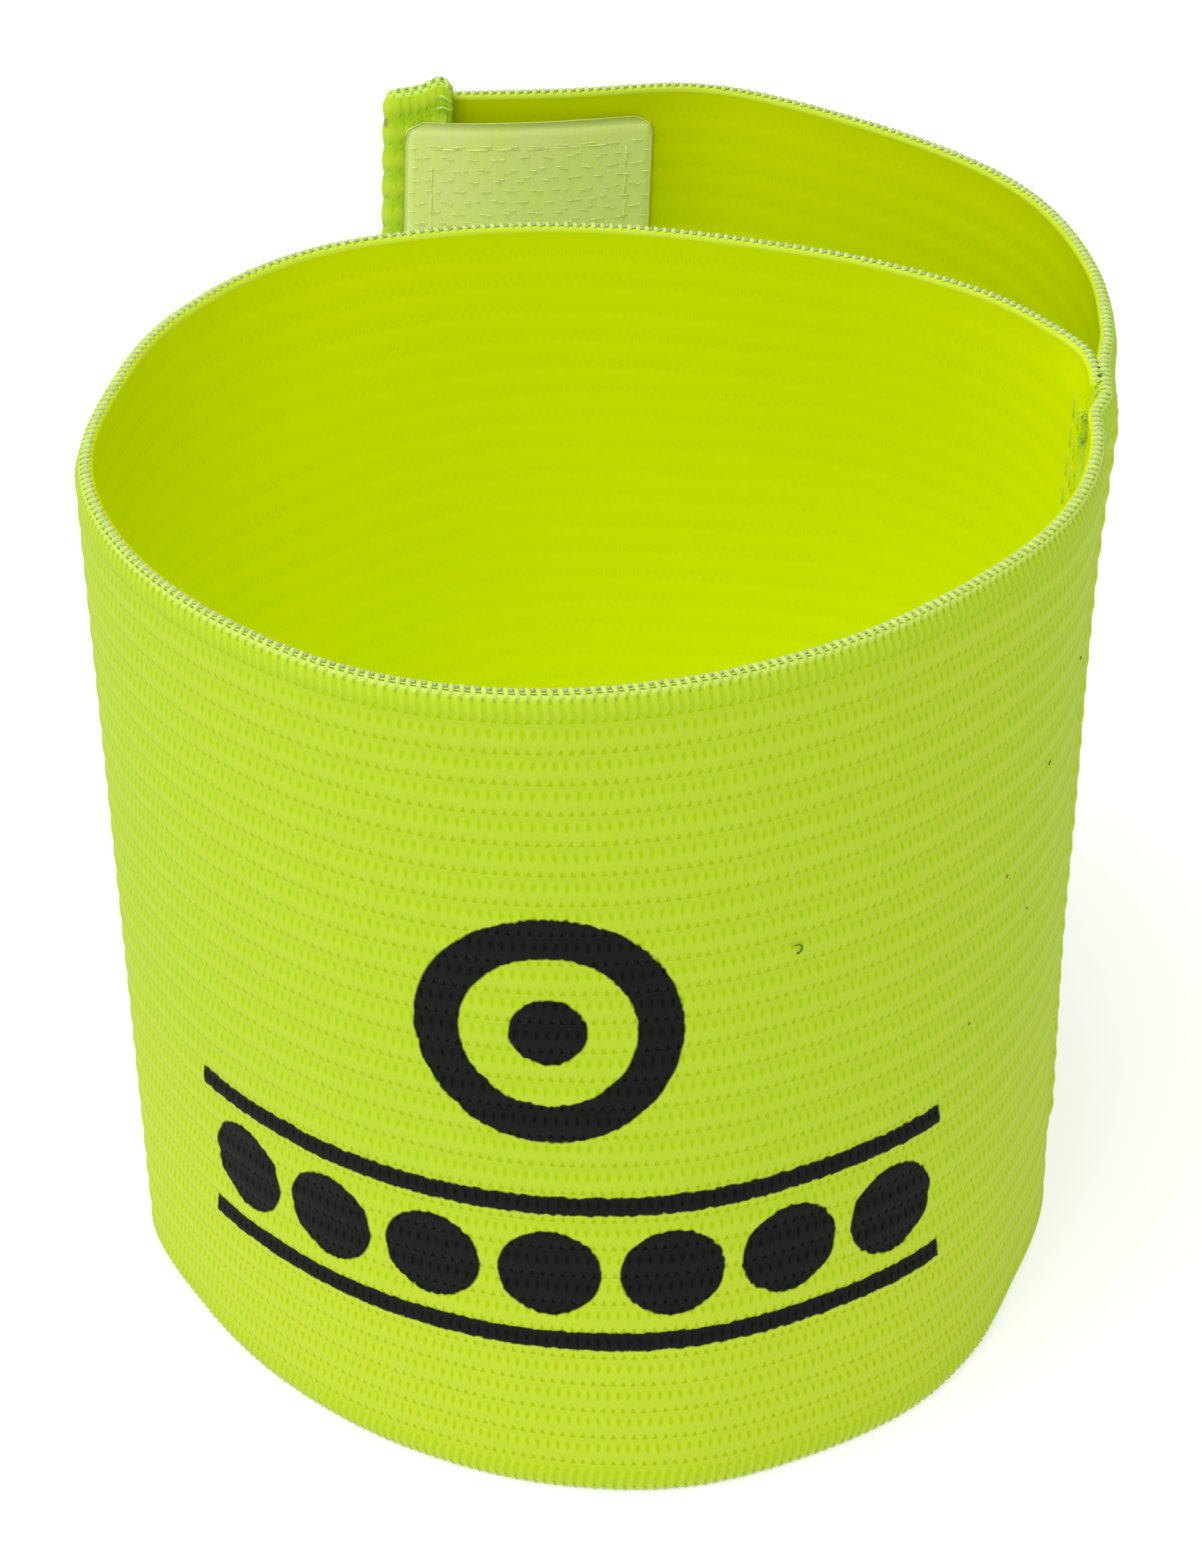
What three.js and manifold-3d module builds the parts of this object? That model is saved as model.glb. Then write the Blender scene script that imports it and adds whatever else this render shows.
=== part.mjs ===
// A captain armband: one ribbed elastic strip standing on its edge. The strip is looped round, its inner
// end is lapped and sewn inside the wall at the seam, and its outer end goes on as a free tail behind the
// loop. The tail ends in a turned-in hem and carries a hook-tape patch on its inner face.
// Millimetres, +Z up, the front of the band faces -Y and the origin is under the middle of the whole.
import * as THREE from 'three';
import { mergeVertices } from 'three/addons/utils/BufferGeometryUtils.js';
import Module from 'manifold-3d';

// The elastic strip
const STRIP_HEIGHT = 75;
const STRIP_THICK = 1.4;
const SELVEDGE_THICK = 1;
const SELVEDGE_DRAW = 0.4;
const RIB_COUNT = 28;
const RIB_DEPTH = 0.2;

// The loop, measured on the middle of its wall
const LOOP_WIDTH = 84;
const LOOP_DEPTH = 79;
const LOOP_STATIONS = 22;

// The seam, where the inner end lies inside the wall
const SEAM_HEADING = 15;
const LAP_LENGTH = 5.5;
const STEP_LENGTH = 6;
const STEP_SHARES = [0.4, 0.8];
const STITCH_WIDTH = 2;
const STITCH_INSET = 1;
const STITCH_LEVELS = 12;
const LAYER_GAP = 0.3;

// The free tail and the hem at its end
const TAIL_LENGTH = 101.6;
const TAIL_STATIONS = 13;
const HEM_WIDTH = 4.9;
const HEM_FLARE = 1.8;
const HEM_ARC_STEPS = 3;

// The hook-tape patch on the tail's inner face
const PATCH_WIDTH = 22.6;
const PATCH_THICK = 1;
const PATCH_INSET = 0.5;
const PATCH_MARGIN = 1.9;
const PATCH_STEP = 3;
const PATCH_STATIONS = 12;

// The loop seen from above, anticlockwise from the right. The rim and the foot are shares of the half
// width and half depth, heading is in degrees.
const LOOP_TABLE = [
  { heading: 0, rim: 0.94, foot: 0.895 },
  { heading: 11, rim: 0.962, foot: 0.903 },
  { heading: 23, rim: 1.017, foot: 0.96 },
  { heading: 38, rim: 1.018, foot: 1.035 },
  { heading: 54, rim: 0.985, foot: 1.055 },
  { heading: 72, rim: 0.968, foot: 1.025 },
  { heading: 92, rim: 1, foot: 1.04 },
  { heading: 110, rim: 1.041, foot: 0.985 },
  { heading: 126, rim: 1.072, foot: 0.89 },
  { heading: 146, rim: 1.035, foot: 0.875 },
  { heading: 166, rim: 0.99, foot: 0.88 },
  { heading: 186, rim: 0.995, foot: 0.93 },
  { heading: 206, rim: 0.996, foot: 0.902 },
  { heading: 226, rim: 1.003, foot: 0.915 },
  { heading: 246, rim: 1.02, foot: 0.956 },
  { heading: 262, rim: 1.002, foot: 0.994 },
  { heading: 278, rim: 0.961, foot: 1.012 },
  { heading: 294, rim: 0.919, foot: 0.981 },
  { heading: 309, rim: 0.892, foot: 0.955 },
  { heading: 322, rim: 0.886, foot: 0.919 },
  { heading: 338, rim: 0.906, foot: 0.879 },
];

// The tail's way from the seam: how far it has turned, in degrees, at shares of its length
const TAIL_TABLE = [
  { along: 0, turn: 0 },
  { along: 0.1, turn: 1 },
  { along: 0.15, turn: 3 },
  { along: 0.2, turn: 10 },
  { along: 0.305, turn: 21 },
  { along: 0.4, turn: 37.5 },
  { along: 0.45, turn: 45.5 },
  { along: 0.55, turn: 55 },
  { along: 0.65, turn: 62 },
  { along: 0.685, turn: 68.5 },
  { along: 0.725, turn: 81 },
  { along: 0.76, turn: 96 },
  { along: 0.79, turn: 102.5 },
  { along: 0.865, turn: 97.5 },
  { along: 1, turn: 92 },
];

// The hem's flap from its fold on: shares of the hem's width, and of the flare by which its top stands up
const HEM_TABLE = [
  { width: 0.45, rise: 0.35 },
  { width: 0.82, rise: 1 },
  { width: 1, rise: 0.25 },
];

// Soft dents and swells of the wall: where, how wide and how high, the push in shares of the thickness, and
// the share of it that the free tail has too
const SWELL_TABLE = [
  { heading: 8, height: 0.72, spread: 42, tall: 0.35, push: -0.58, tail: 1 },
  { heading: 8, height: 0.35, spread: 42, tall: 0.4, push: -0.47, tail: 1 },
  { heading: 56, height: 0.58, spread: 36, tall: 0.5, push: 2, tail: 0 },
  { heading: 128, height: 0.6, spread: 34, tall: 0.55, push: -1.4, tail: 0 },
];

const halfWidth = LOOP_WIDTH / 2;
const halfDepth = LOOP_DEPTH / 2;
const layerStep = STRIP_THICK + LAYER_GAP;
const lapTurn = THREE.MathUtils.radToDeg(LAP_LENGTH / halfDepth);
const stepTurn = THREE.MathUtils.radToDeg(STEP_LENGTH / halfDepth);
const weldDistance = 1e-5;

// Cubic through the rows of a table, level or going round
function readTable(table, key, column, at, period) {
  const rows = table.map((row) => ({ at: row[key], value: row[column] }));
  if (period) {
    const first = rows.slice(0, 2).map((row) => ({ at: row.at + period, value: row.value }));
    const last = rows.slice(-2).map((row) => ({ at: row.at - period, value: row.value }));
    rows.unshift(...last);
    rows.push(...first);
  }
  let i = 0;
  while (i < rows.length - 2 && at > rows[i + 1].at) {
    i += 1;
  }
  const before = rows[Math.max(i - 1, 0)];
  const start = rows[i];
  const end = rows[i + 1];
  const after = rows[Math.min(i + 2, rows.length - 1)];
  const span = end.at - start.at;
  const slopeStart = ((end.value - before.value) / (end.at - before.at)) * span;
  const slopeEnd = ((after.value - start.value) / (after.at - start.at)) * span;
  const t = (at - start.at) / span;
  const t2 = t * t;
  const t3 = t2 * t;
  return (
    (2 * t3 - 3 * t2 + 1) * start.value +
    (t3 - 2 * t2 + t) * slopeStart +
    (3 * t2 - 2 * t3) * end.value +
    (t3 - t2) * slopeEnd
  );
}

function loopPoint(column, heading) {
  const turn = THREE.MathUtils.degToRad(heading);
  const share = readTable(LOOP_TABLE, 'heading', column, THREE.MathUtils.euclideanModulo(heading, 360), 360);
  return new THREE.Vector2(halfWidth * share * Math.cos(turn), halfDepth * share * Math.sin(turn));
}

function loopDirection(column, heading) {
  const nudge = 0.5;
  const ahead = loopPoint(column, heading + nudge);
  return ahead.sub(loopPoint(column, heading - nudge)).angle();
}

// The right-hand side of the way that the strip runs, which is the band's outer face
function sideOf(direction) {
  return new THREE.Vector2(Math.sin(direction), -Math.cos(direction));
}

// One upright line of the wall's middle: where its rim and foot are and which way each faces
function loopStation(heading, offset) {
  const station = { heading, rise: 0 };
  for (const column of ['rim', 'foot']) {
    const side = sideOf(loopDirection(column, heading));
    station[column] = { at: loopPoint(column, heading).addScaledVector(side, offset), side };
  }
  return station;
}

// Steps out over the inner end: wholly out at the last share of the step
function outerOffset(heading) {
  const past = heading - 360 - SEAM_HEADING + stepTurn;
  return layerStep * THREE.MathUtils.smoothstep(past, 0, stepTurn * STEP_SHARES[1]);
}

function loopStations() {
  const stations = [];
  const lapEnd = SEAM_HEADING + lapTurn;
  const wallStart = lapEnd + stepTurn;
  const wallEnd = 360 + SEAM_HEADING - stepTurn;
  for (const heading of [SEAM_HEADING, lapEnd]) {
    stations.push(loopStation(heading, 0));
  }
  for (let i = 0; i <= LOOP_STATIONS; i += 1) {
    const heading = THREE.MathUtils.lerp(wallStart, wallEnd, i / LOOP_STATIONS);
    stations.push(loopStation(heading, 0));
  }
  for (const share of STEP_SHARES) {
    const heading = wallEnd + share * stepTurn;
    stations.push(loopStation(heading, outerOffset(heading)));
  }
  stations.push(loopStation(360 + SEAM_HEADING, layerStep));
  return stations;
}

// A station on the tail, moved sideways by offset; the way is added up in short steps from the seam
function tailStation(along, offset) {
  const start = loopStation(360 + SEAM_HEADING, layerStep);
  const startWay = loopDirection('rim', start.heading);
  const steps = Math.max(1, Math.round(along));
  const way = (distance) =>
    startWay + THREE.MathUtils.degToRad(readTable(TAIL_TABLE, 'along', 'turn', distance / TAIL_LENGTH));
  const shift = new THREE.Vector2();
  for (let i = 0; i < steps; i += 1) {
    const middle = way(((i + 0.5) / steps) * along);
    shift.x += (Math.cos(middle) * along) / steps;
    shift.y += (Math.sin(middle) * along) / steps;
  }
  const side = sideOf(way(along));
  const station = { heading: start.heading + THREE.MathUtils.radToDeg(along / halfDepth), rise: 0 };
  station.direction = way(along);
  for (const column of ['rim', 'foot']) {
    station[column] = { at: start[column].at.clone().add(shift).addScaledVector(side, offset), side };
  }
  return station;
}

function tailStations() {
  const stations = [];
  for (let i = 1; i <= TAIL_STATIONS; i += 1) {
    stations.push(tailStation((TAIL_LENGTH * i) / TAIL_STATIONS, 0));
  }
  return stations;
}

// The hem: the tail's end turned in by half a circle and laid along the tail's inner face
function hemStations() {
  const end = tailStation(TAIL_LENGTH, 0);
  const radius = layerStep / 2;
  const stations = [];
  for (let i = 1; i <= HEM_ARC_STEPS; i += 1) {
    const turned = (Math.PI * i) / HEM_ARC_STEPS;
    stations.push({ side: sideOf(end.direction + turned), out: 0, rise: 0 });
  }
  const folded = sideOf(end.direction + Math.PI);
  for (const row of HEM_TABLE) {
    stations.push({ side: folded, out: HEM_WIDTH * row.width, rise: HEM_FLARE * row.rise });
  }
  const back = new THREE.Vector2(-Math.cos(end.direction), -Math.sin(end.direction));
  return stations.map(({ side, out, rise }) => {
    const station = { heading: end.heading, rise };
    for (const column of ['rim', 'foot']) {
      const centre = end[column].at.clone().addScaledVector(end[column].side, -radius);
      station[column] = { at: centre.addScaledVector(side, radius).addScaledVector(back, out), side };
    }
    return station;
  });
}

// One at the middle of a swell, falling smoothly to nothing at its edge
function fade(away) {
  return away < 1 ? 0.5 + 0.5 * Math.cos(Math.PI * away) : 0;
}

function swellAt(heading, height) {
  const onTail = heading > 360 + SEAM_HEADING;
  let push = 0;
  for (const row of SWELL_TABLE) {
    const around = THREE.MathUtils.euclideanModulo(heading - row.heading + 180, 360) - 180;
    const wide = Math.abs(around) / row.spread;
    const tall = Math.abs(height - row.height) / row.tall;
    const share = onTail ? row.tail : 1;
    push += row.push * share * STRIP_THICK * fade(wide) * fade(tall);
  }
  return push;
}

// The point of the wall at a height share, moved out from the middle of the wall
function wallPoint(station, height, out) {
  const at = station.foot.at.clone().lerp(station.rim.at, height);
  const side = station.foot.side.clone().lerp(station.rim.side, height).normalize();
  at.addScaledVector(side, out);
  at.addScaledVector(sideOf(loopDirection('rim', station.heading)), swellAt(station.heading, height));
  return new THREE.Vector3(at.x, at.y, height * (STRIP_HEIGHT + station.rise));
}

// The strip's section from foot to rim: a crest on each rib, a valley between ribs, and a selvedge at
// either end that its tight edge thread draws in towards the arm
function ribbedSection() {
  const selvedge = { half: SELVEDGE_THICK / 2, draw: SELVEDGE_DRAW };
  const rows = [{ height: 0, ...selvedge }];
  for (let i = 0; i < RIB_COUNT; i += 1) {
    rows.push({ height: (i + 0.5) / RIB_COUNT, half: STRIP_THICK / 2, draw: 0 });
    rows.push({ height: (i + 1) / RIB_COUNT, half: STRIP_THICK / 2 - RIB_DEPTH, draw: 0 });
  }
  rows[rows.length - 1] = { height: 1, ...selvedge };
  return rows;
}

// Joins the same section, stood up at every station, into one closed skin
function sweepWall(stations, section) {
  const count = section.length;
  const points = [];
  for (const station of stations) {
    for (const row of section) {
      points.push(wallPoint(station, row.height, row.half - row.draw));
    }
    for (const row of [...section].reverse()) {
      points.push(wallPoint(station, row.height, -row.half - row.draw));
    }
  }
  const ring = count * 2;
  const faces = [];
  for (let i = 0; i < stations.length - 1; i += 1) {
    for (let k = 0; k < ring; k += 1) {
      const a = i * ring + k;
      const b = i * ring + ((k + 1) % ring);
      faces.push(a, a + ring, b + ring);
      faces.push(a, b + ring, b);
    }
  }
  const last = (stations.length - 1) * ring;
  for (let k = 0; k < count - 1; k += 1) {
    const outer = k;
    const inner = ring - 1 - k;
    faces.push(inner, outer, outer + 1);
    faces.push(inner, outer + 1, inner - 1);
    faces.push(last + inner, last + outer + 1, last + outer);
    faces.push(last + inner, last + inner - 1, last + outer + 1);
  }
  const geometry = new THREE.BufferGeometry().setFromPoints(points);
  geometry.setIndex(faces);
  return geometry;
}

// The row of seam stitching, which holds the two layers together from just inside both rims
function seamRow() {
  const middle = SEAM_HEADING + lapTurn / 2;
  const half = THREE.MathUtils.radToDeg(STITCH_WIDTH / 2 / halfDepth);
  const inset = STITCH_INSET / STRIP_HEIGHT;
  const section = [];
  for (let i = 0; i <= STITCH_LEVELS; i += 1) {
    const height = THREE.MathUtils.lerp(inset, 1 - inset, i / STITCH_LEVELS);
    section.push({ height, half: layerStep / 2, draw: 0 });
  }
  const stations = [middle - half, middle + half].map((heading) => loopStation(heading, layerStep / 2));
  return sweepWall(stations, section);
}

// How far the patch lies in from the tail's middle: it climbs onto the hem near the tail's end
function patchOffset(along) {
  const onTail = STRIP_THICK / 2 + LAYER_GAP + PATCH_THICK / 2;
  const hemEdge = TAIL_LENGTH - HEM_WIDTH - LAYER_GAP;
  const climb = THREE.MathUtils.smoothstep(along, hemEdge - PATCH_STEP - LAYER_GAP, hemEdge - LAYER_GAP);
  return -(onTail + climb * layerStep);
}

function patchStations() {
  const start = TAIL_LENGTH - PATCH_INSET - PATCH_WIDTH;
  const stations = [];
  for (let i = 0; i <= PATCH_STATIONS; i += 1) {
    const along = start + (PATCH_WIDTH * i) / PATCH_STATIONS;
    stations.push(tailStation(along, patchOffset(along)));
  }
  return stations;
}

function patchSection() {
  const edge = PATCH_MARGIN / STRIP_HEIGHT;
  return [
    { height: edge, half: PATCH_THICK / 2, draw: 0 },
    { height: 1 - edge, half: PATCH_THICK / 2, draw: 0 },
  ];
}

function toManifold(wasm, geometry) {
  const merged = mergeVertices(geometry, weldDistance);
  const vertProperties = new Float32Array(merged.attributes.position.array);
  const triVerts = new Uint32Array(merged.index.array);
  return new wasm.Manifold(new wasm.Mesh({ numProp: 3, vertProperties, triVerts }));
}

function toGeometry(manifold) {
  const mesh = manifold.getMesh();
  const geometry = new THREE.BufferGeometry();
  geometry.setAttribute('position', new THREE.BufferAttribute(mesh.vertProperties, mesh.numProp));
  geometry.setIndex(new THREE.BufferAttribute(mesh.triVerts, 1));
  return geometry;
}

const wasm = await Module();
wasm.setup();

const strip = sweepWall([...loopStations(), ...tailStations(), ...hemStations()], ribbedSection());
const bandGeometry = toGeometry(toManifold(wasm, strip).add(toManifold(wasm, seamRow())));
const patchGeometry = sweepWall(patchStations(), patchSection());

const elastic = new THREE.MeshStandardMaterial({ color: '#c2df21', roughness: 0.85, metalness: 0 });
const hookTape = new THREE.MeshStandardMaterial({ color: '#bad06e', roughness: 0.5, metalness: 0 });

const band = new THREE.Mesh(bandGeometry, elastic);
band.name = 'band';
const hookPatch = new THREE.Mesh(patchGeometry, hookTape);
hookPatch.name = 'hook_patch';

// The whole is moved so that the origin lies under the middle of its box
const armband = new THREE.Group();
armband.add(band, hookPatch);
const box = new THREE.Box3().setFromObject(armband);
const middle = box.getCenter(new THREE.Vector3());
for (const piece of armband.children) {
  piece.geometry.translate(-middle.x, -middle.y, -box.min.z);
  piece.geometry.computeVertexNormals();
}

export default armband;
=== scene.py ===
"""The looks of a captain armband: ribbed elastic with whip-stitched edges, a sewn lap, a free tail with a
turned-in hem, a hook-tape patch and a plain printed mark. Metres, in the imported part's frame."""
import math

import bpy
import numpy as np
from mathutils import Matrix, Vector


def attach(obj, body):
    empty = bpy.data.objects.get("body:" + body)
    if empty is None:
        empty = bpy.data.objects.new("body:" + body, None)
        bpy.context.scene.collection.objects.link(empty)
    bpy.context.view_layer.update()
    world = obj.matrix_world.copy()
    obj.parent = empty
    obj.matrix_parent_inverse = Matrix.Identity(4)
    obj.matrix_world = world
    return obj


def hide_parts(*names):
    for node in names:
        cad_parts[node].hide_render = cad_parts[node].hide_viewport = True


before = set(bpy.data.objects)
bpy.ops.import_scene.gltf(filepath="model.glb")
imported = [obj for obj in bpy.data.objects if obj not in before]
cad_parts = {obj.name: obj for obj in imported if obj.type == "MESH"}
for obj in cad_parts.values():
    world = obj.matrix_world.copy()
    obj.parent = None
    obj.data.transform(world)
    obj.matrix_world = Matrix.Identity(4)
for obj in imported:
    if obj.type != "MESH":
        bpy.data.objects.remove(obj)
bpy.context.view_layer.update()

MM = 0.001
RANDOM = np.random.default_rng(7)

# The elastic strip, in millimetres as in the part's source
STRIP_HEIGHT = 75.0
STRIP_THICK = 1.4
SELVEDGE_THICK = 1.0
SELVEDGE_DRAW = 0.4
SELVEDGE_REACH = 1.5
SQUEEZE_REACH = 4.0
SQUEEZE_OUTER = 0.55
SQUEEZE_INNER = 0.5
SQUEEZE_FADE = 6.0
SQUEEZE_HOLD = 3.0
SQUEEZE_END = 10.0
EDGE_INSET = 0.18
RIB_COUNT = 28
RIB_DEPTH = 0.2
INNER_RIB_SHARE = 0.3
WEFT_PITCH = 0.8
INNER_FACE = 100.0

# The loop and the seam
LOOP_WIDTH = 84.0
LOOP_DEPTH = 79.0
SEAM_HEADING = 15.0
LAP_LENGTH = 5.5
STEP_LENGTH = 6.0
LAYER_GAP = 0.3
LAYER_STEP = STRIP_THICK + LAYER_GAP

# The tail, the hem and the patch
TAIL_LENGTH = 101.6
HEM_WIDTH = 4.9
HEM_FLARE = 2.0
PATCH_WIDTH = 22.6
PATCH_THICK = 0.4
PATCH_INSET = 0.6
PATCH_MARGIN = 1.9
PATCH_TILT = 0.9
PATCH_STEP = 20.0
PATCH_CORNER = 1.6
PATCH_BEVEL = 0.2

# The loop seen from above, anticlockwise from the right: the rim and the foot as shares of its half size
LOOP_TABLE = [
    {"heading": 0, "rim": 0.94, "foot": 0.895},
    {"heading": 11, "rim": 0.962, "foot": 0.903},
    {"heading": 23, "rim": 1.017, "foot": 0.96},
    {"heading": 38, "rim": 1.018, "foot": 1.035},
    {"heading": 54, "rim": 0.985, "foot": 1.055},
    {"heading": 72, "rim": 0.968, "foot": 1.025},
    {"heading": 92, "rim": 1.0, "foot": 1.04},
    {"heading": 110, "rim": 1.041, "foot": 0.985},
    {"heading": 126, "rim": 1.072, "foot": 0.89},
    {"heading": 146, "rim": 1.035, "foot": 0.875},
    {"heading": 166, "rim": 0.99, "foot": 0.88},
    {"heading": 186, "rim": 0.995, "foot": 0.93},
    {"heading": 206, "rim": 0.996, "foot": 0.902},
    {"heading": 226, "rim": 1.003, "foot": 0.915},
    {"heading": 246, "rim": 1.02, "foot": 0.956},
    {"heading": 262, "rim": 1.002, "foot": 0.994},
    {"heading": 278, "rim": 0.961, "foot": 1.012},
    {"heading": 294, "rim": 0.919, "foot": 0.981},
    {"heading": 309, "rim": 0.892, "foot": 0.955},
    {"heading": 322, "rim": 0.886, "foot": 0.919},
    {"heading": 338, "rim": 0.906, "foot": 0.879},
]

# How far the tail has turned, in degrees, at shares of its length from the seam
TAIL_TABLE = [
    {"along": 0, "turn": 0},
    {"along": 0.1, "turn": 1},
    {"along": 0.15, "turn": 3},
    {"along": 0.2, "turn": 10},
    {"along": 0.305, "turn": 21},
    {"along": 0.4, "turn": 37.5},
    {"along": 0.45, "turn": 45.5},
    {"along": 0.55, "turn": 55},
    {"along": 0.65, "turn": 62},
    {"along": 0.685, "turn": 68.5},
    {"along": 0.725, "turn": 81},
    {"along": 0.76, "turn": 96},
    {"along": 0.79, "turn": 102.5},
    {"along": 0.865, "turn": 97.5},
    {"along": 1, "turn": 92},
]

# The hem's flap from its fold on: shares of its width, and of the flare by which its top stands up
HEM_TABLE = [
    {"width": 0, "rise": 0.38},
    {"width": 0.45, "rise": 0.62},
    {"width": 0.78, "rise": 1},
    {"width": 1, "rise": 0.5},
]

# Soft dents of the wall: where, how wide and how high, and the push in shares of the thickness
SWELL_TABLE = [
    {"heading": 8, "height": 0.72, "spread": 42, "tall": 0.35, "push": -0.58, "tail": 1},
    {"heading": 8, "height": 0.35, "spread": 42, "tall": 0.4, "push": -0.47, "tail": 1},
    {"heading": 56, "height": 0.58, "spread": 36, "tall": 0.5, "push": 2.0, "tail": 0},
    {"heading": 128, "height": 0.6, "spread": 34, "tall": 0.55, "push": -1.4, "tail": 0},
]

HALF_WIDTH = LOOP_WIDTH / 2
HALF_DEPTH = LOOP_DEPTH / 2
LAP_TURN = math.degrees(LAP_LENGTH / HALF_DEPTH)
STEP_TURN = math.degrees(STEP_LENGTH / HALF_DEPTH)

# The camera, from the middle of the loop at the height of the foot, in millimetres and degrees
CAMERA_PLACE = (-0.5, -352.2, 263.4)
CAMERA_DOWN = 32.1
CAMERA_LENS = 114.65
SENSOR = 36.0


def smoothstep(value, low, high):
    t = np.clip((value - low) / (high - low), 0, 1)
    return t * t * (3 - 2 * t)


def read_table(table, key, column, at, period=None):
    """Cubic through the rows of a table, level or going round."""
    keys = [row[key] for row in table]
    values = [row[column] for row in table]
    if period:
        keys = [keys[-2] - period, keys[-1] - period, *keys, keys[0] + period, keys[1] + period]
        values = [*values[-2:], *values, *values[:2]]
    keys = np.array(keys, float)
    values = np.array(values, float)
    i = np.clip(np.searchsorted(keys, at) - 1, 0, len(keys) - 2)
    before = np.maximum(i - 1, 0)
    after = np.minimum(i + 2, len(keys) - 1)
    span = keys[i + 1] - keys[i]
    slope_start = (values[i + 1] - values[before]) / (keys[i + 1] - keys[before]) * span
    slope_end = (values[after] - values[i]) / (keys[after] - keys[i]) * span
    t = (at - keys[i]) / span
    rising = 3 * t**2 - 2 * t**3
    bends = (t**3 - 2 * t**2 + t) * slope_start + (t**3 - t**2) * slope_end
    return (1 - rising) * values[i] + rising * values[i + 1] + bends


def loop_point(column, heading):
    turn = np.radians(heading)
    share = read_table(LOOP_TABLE, "heading", column, np.mod(heading, 360), 360)
    return np.stack([HALF_WIDTH * share * np.cos(turn), HALF_DEPTH * share * np.sin(turn)], -1)


def loop_direction(column, heading):
    nudge = 0.5
    way = loop_point(column, heading + nudge) - loop_point(column, heading - nudge)
    return np.arctan2(way[..., 1], way[..., 0])


def side_of(direction):
    """The right-hand side of the way that the strip runs, which is the band's outer face."""
    return np.stack([np.sin(direction), -np.cos(direction)], -1)


def swell_at(heading, height):
    push = 0
    on_tail = np.asarray(heading) > 360 + SEAM_HEADING
    for row in SWELL_TABLE:
        around = np.mod(heading - row["heading"] + 180, 360) - 180
        wide = np.clip(np.abs(around) / row["spread"], 0, 1)
        tall = np.clip(np.abs(height - row["height"]) / row["tall"], 0, 1)
        fade = (0.5 + 0.5 * np.cos(np.pi * wide)) * (0.5 + 0.5 * np.cos(np.pi * tall))
        share = np.where(on_tail, row["tail"], 1)
        push = push + row["push"] * share * STRIP_THICK * fade
    return push


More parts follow.
